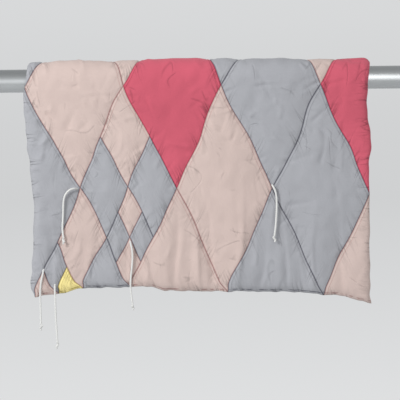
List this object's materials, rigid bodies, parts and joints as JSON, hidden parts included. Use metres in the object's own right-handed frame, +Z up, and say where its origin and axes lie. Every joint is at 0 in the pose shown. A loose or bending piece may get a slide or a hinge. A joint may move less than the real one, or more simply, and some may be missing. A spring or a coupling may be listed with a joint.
{
  "type": "quilted blanket hanging over a rail",
  "caption": "Padded patchwork blanket folded over a round metal rail, with knotted cord ties sewn into its front seams.",
  "frame": {"origin": "centre of the rail's left end face, where a wall bracket holds the rail", "axes": "+X along the rail to its right end, +Z up, -Y towards the front of the blanket, where the ties are"},
  "size_m": [1, 0.1118, 0.6304],
  "materials": {
    "quilted_cotton": "matt fine plain-weave cotton patches in grey, blush, raspberry and a little yellow, padded and quilted",
    "rail_metal": "satin metal tube",
    "tie_cord": "matt off-white round cotton cord"
  },
  "bodies": {
    "root": {"quilt": "quilted_cotton", "rail": "rail_metal", "tie_1": "tie_cord", "tie_2": "tie_cord", "tie_3": "tie_cord", "tie_4": "tie_cord", "tie_5": "tie_cord", "knot_1": "tie_cord", "knot_2": "tie_cord", "knot_3": "tie_cord", "knot_4": "tie_cord", "knot_5": "tie_cord"}
  },
  "joints": []
}
